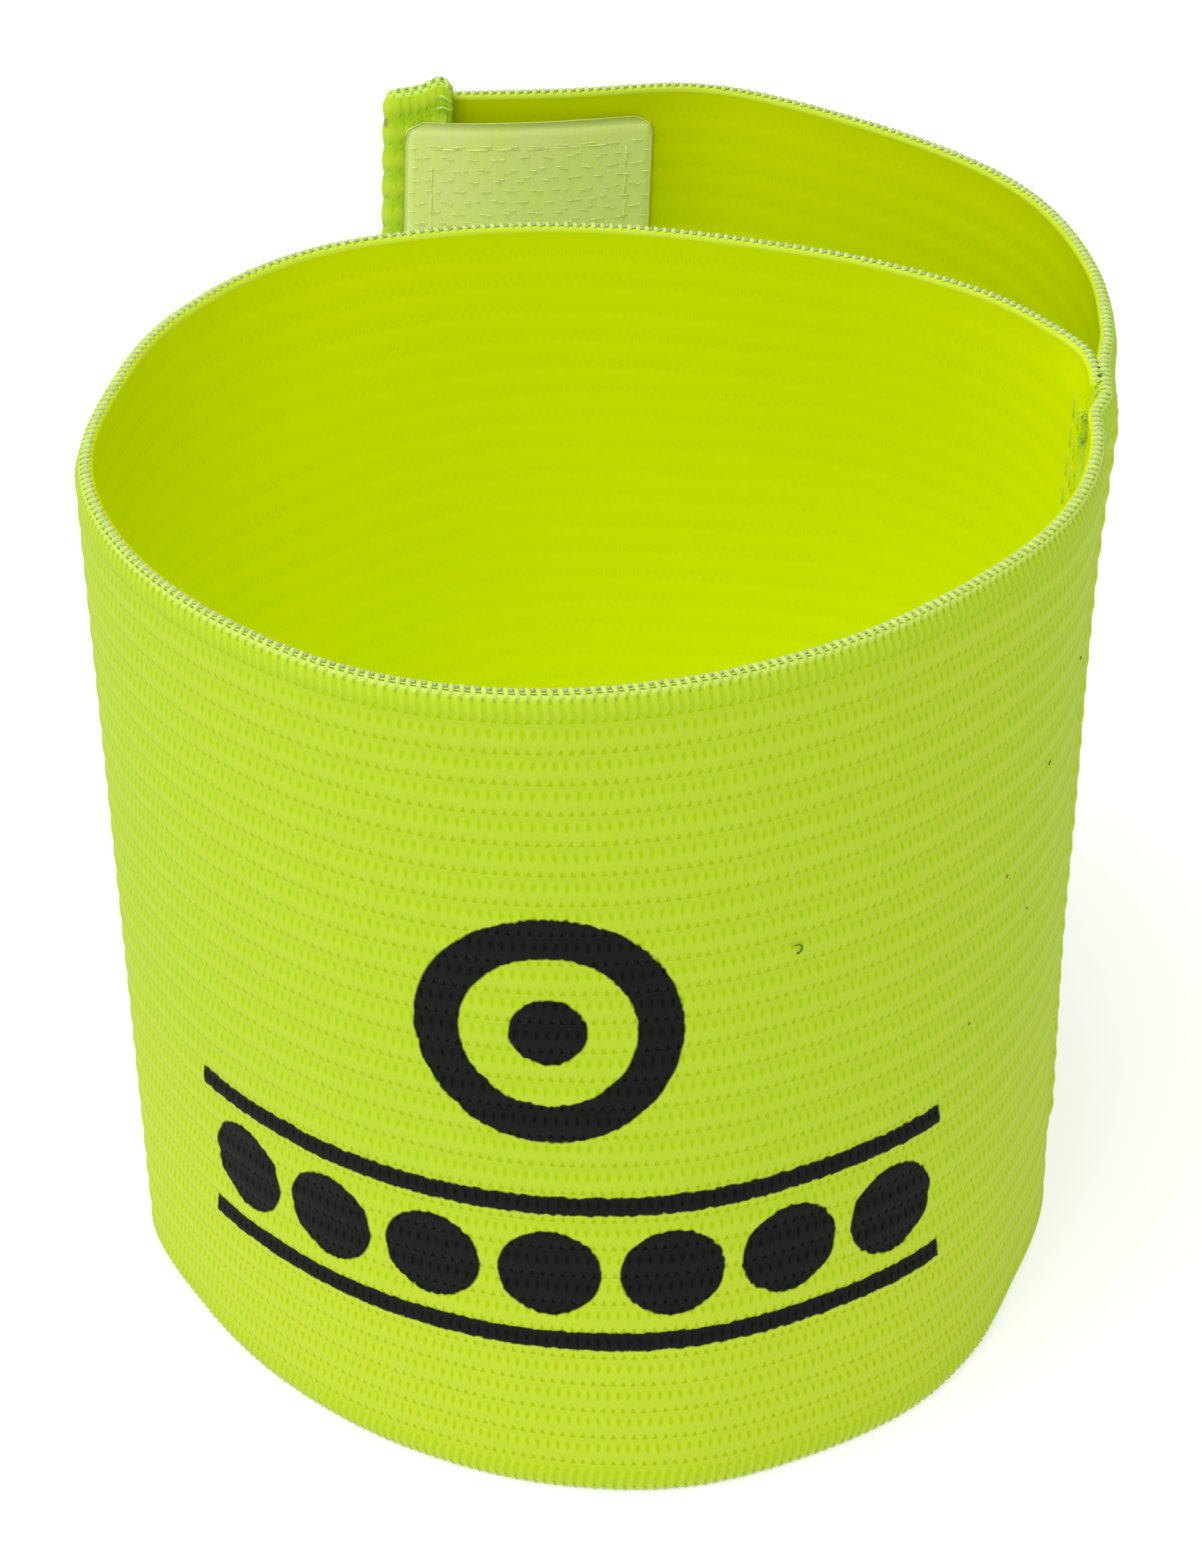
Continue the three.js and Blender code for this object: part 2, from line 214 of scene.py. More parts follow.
class Strip:
    """The standing strip: for a length along it and a share of its height, where its wall is."""

    LOOP_SAMPLES = 3600
    TAIL_SAMPLES = 1400
    HEM_SAMPLES = 24

    def __init__(self):
        rows = [self.loop_rows(), self.tail_rows(), self.hem_rows()]
        self.rim, self.foot, self.rim_side, self.foot_side, self.rise, self.heading = (
            np.concatenate(part) for part in zip(*rows)
        )
        middle = (self.rim + self.foot) / 2
        steps = np.linalg.norm(np.diff(middle, axis=0), axis=1)
        self.length_at = np.concatenate([[0], np.cumsum(steps)])
        loop_count = len(rows[0][0])
        tail_count = len(rows[1][0])
        self.seam = self.length_at[loop_count - 1]
        self.fold = self.length_at[loop_count + tail_count - 1]
        self.end = self.length_at[-1]
        self.lap = LAP_LENGTH
        self.step = self.seam - STEP_LENGTH
        low = np.minimum(self.rim, self.foot).min(axis=0)
        high = np.maximum(self.rim, self.foot).max(axis=0)
        self.middle = (low + high) / 2

    def loop_rows(self):
        heading = np.linspace(SEAM_HEADING, 360 + SEAM_HEADING, self.LOOP_SAMPLES)
        past = heading - 360 - SEAM_HEADING + STEP_TURN
        offset = (LAYER_STEP * smoothstep(past, 0, STEP_TURN * 0.8))[:, None]
        rim_side = side_of(loop_direction("rim", heading))
        foot_side = side_of(loop_direction("foot", heading))
        rim = loop_point("rim", heading) + rim_side * offset
        foot = loop_point("foot", heading) + foot_side * offset
        return rim, foot, rim_side, foot_side, np.zeros(len(heading)), heading

    def tail_way(self, along):
        start = loop_direction("rim", np.array([360 + SEAM_HEADING]))[0]
        return start + np.radians(read_table(TAIL_TABLE, "along", "turn", along / TAIL_LENGTH))

    def tail_rows(self):
        """The tail's way is added up in short steps from the seam."""
        along = np.linspace(0, TAIL_LENGTH, self.TAIL_SAMPLES + 1)
        between = self.tail_way((along[1:] + along[:-1]) / 2)
        steps = np.stack([np.cos(between), np.sin(between)], -1) * (along[1] - along[0])
        shift = np.cumsum(steps, axis=0)
        rim, foot = (part[-1] for part in self.loop_rows()[:2])
        side = side_of(self.tail_way(along[1:]))
        heading = 360 + SEAM_HEADING + np.degrees(along[1:] / HALF_DEPTH)
        return rim + shift, foot + shift, side, side, np.zeros(len(shift)), heading

    def hem_rows(self):
        """The tail's end turned in by half a circle and laid along the tail's inner face."""
        rim, foot, side, _, _, heading = (part[-1] for part in self.tail_rows())
        radius = LAYER_STEP / 2
        way = self.tail_way(np.array([TAIL_LENGTH]))[0]
        back = -np.array([math.cos(way), math.sin(way)])
        turned = np.linspace(0, np.pi, self.HEM_SAMPLES + 1)[1:]
        bend = side_of(way + turned)
        width = np.linspace(0, 1, self.HEM_SAMPLES + 1)[1:]
        flap = np.repeat(side_of(way + np.pi)[None], len(width), axis=0)
        sides = np.concatenate([bend, flap])
        out = np.concatenate([np.zeros(len(bend)), width * HEM_WIDTH])[:, None]
        rises = read_table(HEM_TABLE, "width", "rise", width) * HEM_FLARE
        bend_rise = np.linspace(0, rises[0], len(bend))
        rise = np.concatenate([bend_rise, rises])
        shift = sides * radius - side * radius + back * out
        headings = np.full(len(sides), heading)
        return rim + shift, foot + shift, sides, sides, rise, headings

    def along(self, values, length):
        if values.ndim == 1:
            return np.interp(length, self.length_at, values)
        return np.stack([np.interp(length, self.length_at, values[:, k]) for k in range(2)], -1)

    def side(self, length, height):
        height = np.asarray(height, float)[..., None]
        side = self.along(self.foot_side, length) * (1 - height) + self.along(self.rim_side, length) * height
        return side / np.linalg.norm(side, axis=-1, keepdims=True)

    def point(self, length, height, out=0.0):
        """Points in metres, in the row's frame: height is a share of the strip's, out is in millimetres."""
        length, height, out = np.broadcast_arrays(*(np.asarray(v, float) for v in (length, height, out)))
        foot = self.along(self.foot, length)
        rim = self.along(self.rim, length)
        at = foot + (rim - foot) * height[..., None]
        at = at + self.side(length, height) * out[..., None]
        heading = self.along(self.heading, length)
        way = side_of(loop_direction("rim", heading))
        at = at + way * swell_at(heading, height)[..., None] - self.middle
        up = height * (STRIP_HEIGHT + self.along(self.rise, length))
        return np.concatenate([at, up[..., None]], -1) * MM


STRIP = Strip()


def make_mesh(name, points, faces, smooth=True):
    mesh = bpy.data.meshes.new(name)
    mesh.from_pydata(points, [], faces)
    mesh.polygons.foreach_set("use_smooth", [smooth] * len(mesh.polygons))
    mesh.update()
    piece = bpy.data.objects.new(name, mesh)
    bpy.context.collection.objects.link(piece)
    return piece


def add_map(piece, coordinates):
    """Gives each corner its point's coordinates on the strip: millimetres along, and ribs up."""
    corners = np.empty(len(piece.data.loops), np.int32)
    piece.data.loops.foreach_get("vertex_index", corners)
    layer = piece.data.uv_layers.new(name="strip")
    layer.data.foreach_set("uv", np.asarray(coordinates, np.float32)[corners].ravel())


def grid_faces(rows, columns):
    """Quads over a grid of points kept row by row."""
    last = rows - 1
    i, j = np.meshgrid(np.arange(last), np.arange(columns - 1), indexing="ij")
    a = i * columns + j
    b = ((i + 1) % rows) * columns + j
    return np.stack([a, b, b + 1, a + 1], -1).reshape(-1, 4).tolist()


def sweep_tubes(paths, radii, sides, caps=True):
    """One mesh of many short round threads: paths is threads by points by 3, radii in metres for each point."""
    count, steps, _ = paths.shape
    ways = np.gradient(paths, axis=1)
    ways /= np.linalg.norm(ways, axis=2, keepdims=True)
    chord = paths[:, -1] - paths[:, 0]
    helper = np.where(np.abs(chord[:, 2:3]) > np.linalg.norm(chord[:, :2], axis=1, keepdims=True),
        [[1.0, 0.3, 0.0]], [[0.0, 0.0, 1.0]])
    first = np.cross(ways, helper[:, None])
    first /= np.linalg.norm(first, axis=2, keepdims=True)
    second = np.cross(ways, first)
    angle = np.arange(sides) * 2 * np.pi / sides
    ring = first[:, :, None] * np.cos(angle)[:, None] + second[:, :, None] * np.sin(angle)[:, None]
    radii = np.broadcast_to(np.asarray(radii, float), (count, steps))
    points = paths[:, :, None] + ring * radii[:, :, None, None]
    base = (np.arange(count) * steps * sides)[:, None, None]
    i, k = np.meshgrid(np.arange(steps - 1), np.arange(sides), indexing="ij")
    a = i * sides + k
    b = i * sides + (k + 1) % sides
    quads = base[..., None] + np.stack([a, b, b + sides, a + sides], -1)[None]
    faces = quads.reshape(-1, 4).tolist()
    if caps:
        starts = (base[:, 0] + np.arange(sides)[::-1][None]).tolist()
        ends = (base[:, 0] + (steps - 1) * sides + np.arange(sides)[None]).tolist()
        faces += starts + ends
    return points.reshape(-1, 3), faces


class Field:
    """A value in a shader that adds, multiplies and compares like a number."""

    def __init__(self, tree, socket):
        self.tree = tree
        self.socket = socket

    def apply(self, operation, *others, clamp=False):
        node = self.tree.nodes.new("ShaderNodeMath")
        node.operation = operation
        node.use_clamp = clamp
        for slot, value in zip(node.inputs, (self, *others)):
            if isinstance(value, Field):
                self.tree.links.new(value.socket, slot)
            else:
                slot.default_value = value
        return Field(self.tree, node.outputs[0])

    def __add__(self, other):
        return self.apply("ADD", other)

    def __sub__(self, other):
        return self.apply("SUBTRACT", other)

    def __mul__(self, other):
        return self.apply("MULTIPLY", other)

    def __truediv__(self, other):
        return self.apply("DIVIDE", other)

    def most(self, other):
        return self.apply("MAXIMUM", other)

    def least(self, other):
        return self.apply("MINIMUM", other)

    def size(self):
        return self.apply("ABSOLUTE")

    def wrapped(self):
        return self.apply("FRACT")

    def one_minus(self):
        return self * -1 + 1

    def hypotenuse(self, other):
        return (self * self + other * other).apply("SQRT")

    def fade(self, low, high):
        """Nothing below low and one above high, or the other way round when high is the lower."""
        node = self.tree.nodes.new("ShaderNodeMapRange")
        node.interpolation_type = "SMOOTHSTEP"
        self.tree.links.new(self.socket, node.inputs["Value"])
        node.inputs["From Min"].default_value = min(low, high)
        node.inputs["From Max"].default_value = max(low, high)
        node.inputs["To Min"].default_value = 0 if low < high else 1
        node.inputs["To Max"].default_value = 1 if low < high else 0
        return Field(self.tree, node.outputs["Result"])


def new_material(name):
    material = bpy.data.materials.new(name)
    material.use_nodes = True
    tree = material.node_tree
    return material, tree, tree.nodes["Principled BSDF"]


def strip_fields(tree):
    """The millimetres along the strip and the ribs up it."""
    node = tree.nodes.new("ShaderNodeUVMap")
    node.uv_map = "strip"
    split = tree.nodes.new("ShaderNodeSeparateXYZ")
    tree.links.new(node.outputs[0], split.inputs[0])
    return Field(tree, split.outputs[0]), Field(tree, split.outputs[1])


def noise_field(tree, across, up, detail=2.0):
    """Noise over two fields, from 0 to 1."""
    join = tree.nodes.new("ShaderNodeCombineXYZ")
    tree.links.new(across.socket, join.inputs[0])
    tree.links.new(up.socket, join.inputs[1])
    node = tree.nodes.new("ShaderNodeTexNoise")
    node.inputs["Scale"].default_value = 1.0
    node.inputs["Detail"].default_value = detail
    tree.links.new(join.outputs[0], node.inputs["Vector"])
    return Field(tree, node.outputs["Fac"])


def mix_colours(tree, share, first, second):
    node = tree.nodes.new("ShaderNodeMix")
    node.data_type = "RGBA"
    if isinstance(share, Field):
        tree.links.new(share.socket, node.inputs["Factor"])
    else:
        node.inputs["Factor"].default_value = share
    for slot, colour in ((node.inputs[6], first), (node.inputs[7], second)):
        if isinstance(colour, bpy.types.NodeSocket):
            tree.links.new(colour, slot)
        else:
            slot.default_value = (*colour, 1)
    return node.outputs[2]


def add_bump(tree, shader, height, distance, strength=1.0):
    node = tree.nodes.new("ShaderNodeBump")
    node.inputs["Strength"].default_value = strength
    node.inputs["Distance"].default_value = distance
    tree.links.new(height.socket, node.inputs["Height"])
    tree.links.new(node.outputs[0], shader.inputs["Normal"])


def print_mask(along, up, front):
    """The plain printed mark: a ring over a row of dots between two lines. One where there is ink."""
    tree = along.tree
    rib = STRIP_HEIGHT / RIB_COUNT
    rough = noise_field(tree, along * 1.7, up * 3.4, 1.0) - 0.5
    height = up * rib + rough * 0.5
    across = along - front + rough * 0.25
    ring = (across.hypotenuse(height - RING_HEIGHT) - RING_RADIUS).size() - RING_WIDTH / 2
    middle_dot = across.hypotenuse(height - RING_HEIGHT) - RING_DOT
    row = (across / DOT_PITCH + 0.5).wrapped() - 0.5
    dots = (row * DOT_PITCH).hypotenuse(height - DOT_HEIGHT) - DOT_RADIUS
    dots = dots.most(across.size() - DOT_PITCH * DOT_COUNT / 2)
    lines = ((height - DOT_HEIGHT).size() - LINE_AWAY).size() - LINE_WIDTH / 2
    lines = lines.most(across.size() - LINE_LENGTH / 2)
    return ring.least(middle_dot).least(dots).least(lines).fade(0.12, -0.12)


# The printed mark, in millimetres on the strip's outer face
RING_HEIGHT = 45.0
RING_RADIUS = 8.6
RING_WIDTH = 3.6
RING_DOT = 3.0
DOT_HEIGHT = 22.0
DOT_RADIUS = 4.1
DOT_PITCH = 9.6
DOT_COUNT = 7
LINE_AWAY = 6.6
LINE_WIDTH = 1.7
LINE_LENGTH = 68.0

OUTER = (0.475, 0.66, 0.004)
# Painted light: the outer face is drawn lighter towards its foot, where light thrown up from the floor would
# fall
OUTER_LOW_PAINTED_LIGHT = (0.55, 0.70, 0.006)
# The weave's gaps, also used as painted shade in the rib valleys
OUTER_GAP_AND_SHADE = (0.39, 0.63, 0.0)
INNER = (0.615, 0.73, 0.0)
INNER_GAP_AND_SHADE = (0.54, 0.67, 0.0)
# Painted light: the inner face inside the loop glows with its own colour, though it is no lamp
INNER_PAINTED_GLOW = 0.12
PALE = (0.56, 0.75, 0.11)
DOT = (0.47, 0.50, 0.42)
# Painted sheen on the outer rib crests, also used for the fabric's own pale streaks
CREST_SHEEN_AND_STREAKS = (0.52, 0.69, 0.03)
# Painted shadow between the ends of the whip stitches, a little below the edge
NOTCH_PAINTED_SHADOW = (0.22, 0.38, 0.02)
CORE = (0.24, 0.20, 0.02)
HOOK = (0.82, 0.90, 0.36)
HOOK_DEEP = (0.80, 0.91, 0.25)
LINT = (0.03, 0.04, 0.02)
INK = (0.007, 0.008, 0.006)


def valley_dashes_and_shade(away, away_half, from_valley):
    """Inside: two rows of small dashes in each valley, half a woven line apart, on a soft band of painted
    shade.
    """
    upper = (away / 0.42).hypotenuse((from_valley - 0.1) / 0.12).fade(1.0, 0.3)
    lower = (away_half / 0.42).hypotenuse((from_valley + 0.09) / 0.12).fade(1.0, 0.3)
    # Painted shade: a soft darker band along the middle of each valley
    band = from_valley.size().fade(0.34, 0.06)
    return upper.most(lower) * 0.8 + band * 0.3


def valley_gaps(away, away_half, from_valley):
    """Outside: a row of small triangles over a row of longer soft gaps, half a woven line apart."""
    rise = (from_valley - 0.08) / 0.2
    triangle = (rise.one_minus() * 0.5 - away).fade(-0.16, 0.14) * rise.fade(-0.05, 0.12)
    drop = (from_valley + 0.27) / 0.2
    narrowing = (from_valley + 0.5).fade(0.0, 0.5) * 0.3 + 0.36
    long_gap = (away_half / narrowing).hypotenuse(drop).fade(1.05, 0.3)
    return triangle.most(long_gap * 0.9)


def elastic_material(front):
    """Ribs along the strip, with two rows of small gaps in each valley between them."""
    material, tree, shader = new_material("ribbed_elastic")
    along, up = strip_fields(tree)
    drift = noise_field(tree, along * 0.13, up * 0.9, 2.0) - 0.5
    inside = up.apply("GREATER_THAN", INNER_FACE / 2)
    outside = inside.one_minus()
    from_middle = (up - inside * INNER_FACE - RIB_COUNT / 2).size()
    from_edge = from_middle * -STRIP_HEIGHT / RIB_COUNT + STRIP_HEIGHT / 2
    weft = along / WEFT_PITCH + drift * from_edge.fade(1.0, 6.0)
    jog = noise_field(tree, along * 0.9, up * 3.1, 1.0) - 0.5
    from_valley = (up + 0.5).wrapped() - 0.5 + jog * 0.04
    away = (weft.wrapped() - 0.5).size() * 2
    away_half = ((weft + 0.5).wrapped() - 0.5).size() * 2

    slant = (weft + 0.1 + from_edge * -0.22).wrapped() - 0.5
    near_edge = from_edge.fade(3.0, 1.8)
    threads = slant.size().fade(0.05, 0.4)
    slant_gaps = threads.one_minus() * near_edge * from_edge.fade(0.5, 1.0) * 0.6
    # Painted shadow between the ends of the whip stitches, a little below the edge
    notch_shadow = (slant / 0.24).hypotenuse((from_edge - 0.62) / 0.3).fade(1.0, 0.3)
    outer_gaps = valley_gaps(away, away_half, from_valley) * from_edge.fade(1.6, 2.2)
    outer_gaps = outer_gaps.most(slant_gaps)
    turned = (along - STRIP.fold).fade(-1.0, 0.5)
    patches = noise_field(tree, along * 0.05, up * 0.25, 3.0)
    dashes_and_shade = valley_dashes_and_shade(away, away_half, from_valley) * (patches.fade(0.35, 0.65) * 0.6 + 0.4)
    streaks = noise_field(tree, along * 2.6, up * 0.5, 2.0).fade(0.3, 0.7)

    colour = mix_colours(tree, inside, OUTER, INNER)
    # Painted light: the outer face grows lighter towards its foot
    colour = mix_colours(tree, up.fade(14.0, 3.0) * outside, colour, OUTER_LOW_PAINTED_LIGHT)
    # Painted sheen: the outer rib crests are drawn paler, together with the fabric's own pale streaks
    crest_sheen_and_streaks = (from_valley.size().fade(0.2, 0.5) * 0.3 + streaks * 0.25) * outside
    colour = mix_colours(tree, crest_sheen_and_streaks, colour, CREST_SHEEN_AND_STREAKS)
    # The weave's own gaps and the painted shade in the rib valleys share this darker colour
    gap_and_shade_colour = mix_colours(tree, inside, OUTER_GAP_AND_SHADE, INNER_GAP_AND_SHADE)
    # The weave's gaps outside; inside, the dashes together with their band of painted shade
    gaps = outer_gaps * outside * (turned * 0.8).one_minus() + dashes_and_shade * inside * 0.8
    # Painted shade: past the fold the rib valleys are drawn darker
    valley = from_valley.size().fade(0.4, 0.1) * turned * 0.8
    colour = mix_colours(tree, gaps.most(valley) * 0.95, colour, gap_and_shade_colour)
    colour = mix_colours(tree, from_edge.fade(0.7, 0.3) * 0.7, colour, PALE)
    # Painted shadow: darkens the outer face between the whip stitches' ends
    notch_shadow = notch_shadow * outside * turned.one_minus()
    colour = mix_colours(tree, notch_shadow * 0.7, colour, NOTCH_PAINTED_SHADOW)
    at_fold = (along - STRIP.fold - LAYER_STEP).size().fade(0.5, 0.2)
    worn = noise_field(tree, along * 0.5, up * 1.1, 1.0).fade(0.52, 0.66)
    core = at_fold * worn * from_valley.size().fade(0.35, 0.15) * outside
    colour = mix_colours(tree, core * 0.7, colour, CORE)
    # Painted light: the inner face inside the loop glows with its own colour to lighten it
    tree.links.new(colour, shader.inputs["Emission Color"])
    in_loop = (along - STRIP.seam).fade(1.0, -3.0)
    tree.links.new((inside * in_loop * INNER_PAINTED_GLOW).socket, shader.inputs["Emission Strength"])
    ink = print_mask(along, up, front) * outside
    colour = mix_colours(tree, ink, colour, INK)
    tree.links.new(colour, shader.inputs["Base Color"])
    shader.inputs["Roughness"].default_value = 0.75
    sheen = outside * gaps.one_minus() * (ink * 0.7).one_minus() * 0.45
    tree.links.new(sheen.socket, shader.inputs["Specular IOR Level"])
    bead = (away / 0.9).hypotenuse((from_valley + 0.02) / 0.08).fade(1.0, 0.2)
    height = (outer_gaps * -0.05 + bead * 0.02 + threads * near_edge * 0.03 + streaks * 0.01) * outside
    add_bump(tree, shader, height, MM)
    return material


def thread_material(name, colour, roughness=0.6):
    """Fine twisted thread, a little lighter and darker along its length."""
    material, tree, shader = new_material(name)
    place = tree.nodes.new("ShaderNodeTexCoord")
    node = tree.nodes.new("ShaderNodeTexNoise")
    node.inputs["Scale"].default_value = 1800.0
    tree.links.new(place.outputs["Object"], node.inputs["Vector"])
    share = Field(tree, node.outputs["Fac"]).fade(0.3, 0.7)
    mixed = mix_colours(tree, share, colour, [c * 0.85 for c in colour])
    tree.links.new(mixed, shader.inputs["Base Color"])
    shader.inputs["Roughness"].default_value = roughness
    add_bump(tree, shader, share, 0.05 * MM, 0.6)
    return material


def patch_material():
    """Moulded tape that lets the yellow-green elastic show through unevenly."""
    material, tree, shader = new_material("hook_tape")
    along, up = strip_fields(tree)
    rows = (along / HOOK_PITCH).wrapped().fade(0.1, 0.6)
    clouds = noise_field(tree, along * 0.22, up * 0.16, 3.0)
    fine = noise_field(tree, along * 1.6, up * 0.9, 2.0)
    share = (clouds.fade(0.35, 0.7) * 0.6 + fine.fade(0.35, 0.7) * 0.5).apply("MINIMUM", 1.0)
    colour = mix_colours(tree, share, HOOK, HOOK_DEEP)
    tree.links.new(colour, shader.inputs["Base Color"])
    shader.inputs["Roughness"].default_value = 0.45
    add_bump(tree, shader, rows * 0.012 + fine * 0.02, MM)
    return material


def rib_profile(height):
    """How far the outer and the inner face lie from the wall's middle at shares of the height."""
    edge = np.minimum(height, 1 - height) * STRIP_HEIGHT
    body = smoothstep(edge, -0.4, SELVEDGE_REACH)
    valley = (0.5 + 0.5 * np.cos(2 * np.pi * height * RIB_COUNT)) ** 1.5
    faces = []
    for depth in (RIB_DEPTH, RIB_DEPTH * INNER_RIB_SHARE):
        ribbed = STRIP_THICK / 2 - depth * valley
        faces.append(SELVEDGE_THICK / 2 + (ribbed - SELVEDGE_THICK / 2) * body)
    return faces


def edge_draw(lengths, edge):
    """How far the wall is drawn inwards at a distance from its edge: both layers are squeezed at the lap."""
    body = smoothstep(edge, -0.4, SELVEDGE_REACH)
    reach = 1 - smoothstep(edge, 0.0, SQUEEZE_REACH)
    inner = 1 - smoothstep(lengths, STRIP.lap, STRIP.lap + SQUEEZE_FADE)
    opening = smoothstep(lengths, STRIP.step - 1, STRIP.seam)
    closing = smoothstep(lengths, STRIP.seam + SQUEEZE_HOLD, STRIP.seam + SQUEEZE_END)
    outer = opening * (1 - closing)
    return SELVEDGE_DRAW * (1 - body) + reach * (outer * SQUEEZE_OUTER - inner * SQUEEZE_INNER)


def make_band(material):
    """The whole strip as one closed skin: outer face up, then inner face down, at each length."""
    samples = 4
    inset = EDGE_INSET / STRIP_HEIGHT
    heights = np.clip(np.linspace(0, 1, RIB_COUNT * samples + 1), inset, 1 - inset)
    outer_face, inner_face = rib_profile(heights)
    lengths = np.concatenate([
        np.linspace(0, STRIP.lap + SQUEEZE_FADE, 20, endpoint=False),
        np.linspace(STRIP.lap + SQUEEZE_FADE, STRIP.step - 1, 250, endpoint=False),
        np.linspace(STRIP.step - 1, STRIP.seam + SQUEEZE_END, 28, endpoint=False),
        np.linspace(STRIP.seam + SQUEEZE_END, STRIP.fold, 106, endpoint=False),
        np.linspace(STRIP.fold, STRIP.end, 21),
    ])
    ring_height = np.concatenate([heights, heights[::-1]])
    ring_out = np.concatenate([outer_face, -inner_face[::-1]])
    ring_edge = np.minimum(ring_height, 1 - ring_height) * STRIP_HEIGHT
    grid_length, grid_height = np.meshgrid(lengths, ring_height, indexing="ij")
    draw = edge_draw(grid_length, ring_edge[None])
    points = STRIP.point(grid_length, grid_height, ring_out[None] - draw)
    columns, ring = grid_length.shape
    i, k = np.meshgrid(np.arange(columns - 1), np.arange(ring), indexing="ij")
    a = i * ring + k
    b = i * ring + (k + 1) % ring
    faces = np.stack([a, a + ring, b + ring, b], -1).reshape(-1, 4).tolist()
    outer = np.arange(len(heights) - 1)
    inner = ring - 1 - outer
    faces += np.stack([inner, outer, outer + 1, inner - 1], -1).tolist()
    last = (columns - 1) * ring
    faces += (last + np.stack([outer, inner, inner - 1, outer + 1], -1)).tolist()
    band = make_mesh("elastic_band", points.reshape(-1, 3), faces)
    inner_map = np.arange(ring) >= len(heights)
    up = ring_height * RIB_COUNT + inner_map * INNER_FACE
    add_map(band, np.stack([grid_length.ravel(), np.broadcast_to(up, grid_length.shape).ravel()], -1))
    band.data.materials.append(material)
    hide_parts("band")
    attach(band, "root")
    return band


def finish_piece(piece, material):
    piece.data.materials.append(material)
    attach(piece, "root")
    return piece


def edge_share(edge, depth):
    """The share of the height that lies a depth in millimetres in from the rim or the foot."""
    share = depth / STRIP_HEIGHT
    return 1 - share if edge == "rim" else share


def make_edge_stitches(material, edge):
    """Whip stitches: each short thread goes over the edge at a slant, its ends sunk in both faces."""
    starts = np.arange(0.5, STRIP.end / WEFT_PITCH) * WEFT_PITCH
    turn = np.radians(np.linspace(-35, 215, 8))
    lengths = starts[:, None] + (0.5 - np.linspace(0, 1, 8)) * WEFT_PITCH * WHIP_SLANT
    lengths = np.clip(lengths, 0.1, STRIP.end - 0.1)
    wobble = RANDOM.normal(0, 0.02, (len(starts), 1))
    depth = WHIP_DEPTH - WHIP_RISE * np.sin(turn) + wobble
    reach = WHIP_REACH * np.where(np.cos(turn) < 0, WHIP_INNER_SHARE, 1.0)
    out = reach * np.cos(turn) - edge_draw(lengths, depth)
    paths = STRIP.point(lengths, edge_share(edge, depth), out)
    radii = WHIP_RADIUS * MM * (0.6 + 0.4 * np.sin(np.linspace(0, np.pi, 8)))
    points, faces = sweep_tubes(paths, radii, 6)
    return finish_piece(make_mesh(f"{edge}_whip_stitches", points, faces), material)


def make_edge_dots(material, edge):
    """The pale core that shows as a dot between each two whip stitches."""
    lengths = np.arange(1, STRIP.end / WEFT_PITCH - 1)[:, None] * WEFT_PITCH
    reach = np.array([-0.5, -0.2, 0.2, 0.5]) * DOT_LENGTH
    depth = DOT_DEPTH + reach**2 * 0.8
    out = reach - edge_draw(lengths, depth)
    paths = STRIP.point(lengths - reach * 0.3, edge_share(edge, depth), out)
    radii = DOT_SIZE * MM * np.array([0.5, 1, 1, 0.5])
    points, faces = sweep_tubes(paths, radii, 6)
    return finish_piece(make_mesh(f"{edge}_core_dots", points, faces), material)


def stitch_line(starts, ends, rise, steps=5):
    """Short threads from each start to each end that stand up a little in the middle."""
    share = np.linspace(0, 1, steps)[None, :, None]
    paths = starts[:, None] * (1 - share) + ends[:, None] * share
    lift = np.sin(np.pi * share) * rise[:, None]
    return paths + lift


def make_seam_stitches(material):
    """Two upright rows of stitches through the lap, seen on the inner and the outer face."""
    lows = np.arange(2.0, STRIP_HEIGHT - 3.0, STITCH_PITCH) / STRIP_HEIGHT
    highs = lows + STITCH_LENGTH / STRIP_HEIGHT
    threads = []
    for base, way in ((0.0, -1), (STRIP.seam, 1)):
        for share in SEAM_ROWS:
            length = base + share * STRIP.lap
            out = way * (STRIP_THICK / 2 - STITCH_LIFT)
            starts = STRIP.point(length, lows, out)
            ends = STRIP.point(length, highs, out)
            rise = STRIP.point(length, lows, out + way * STITCH_LIFT) - starts
            threads.append(stitch_line(starts, ends, rise))
    points, faces = sweep_tubes(np.concatenate(threads), STITCH_RADIUS * MM, 6)
    return finish_piece(make_mesh("seam_stitches", points, faces), material)


def make_seam_tack(material):
    """The few small loops of thread that bind both layers together over the rim and the foot at the seam."""
    threads = []
    turn = np.radians(np.linspace(-20, 200, 9))
    for edge in ("rim", "foot"):
        for number in range(TACK_COUNT):
            length = STRIP.seam - 1.5 + number * TACK_PITCH
            depth = 0.35 - 0.5 * np.sin(turn)
            draw = edge_draw(length, 0.3) + 0.35
            out = TACK_REACH * np.cos(turn) - draw
            lengths = length + np.linspace(0.25, -0.25, 9) * RANDOM.choice([-1, 1])
            threads.append(STRIP.point(lengths, edge_share(edge, depth), out))
    points, faces = sweep_tubes(np.array(threads), TACK_RADIUS * MM, 6)
    return finish_piece(make_mesh("seam_tack", points, faces), material)


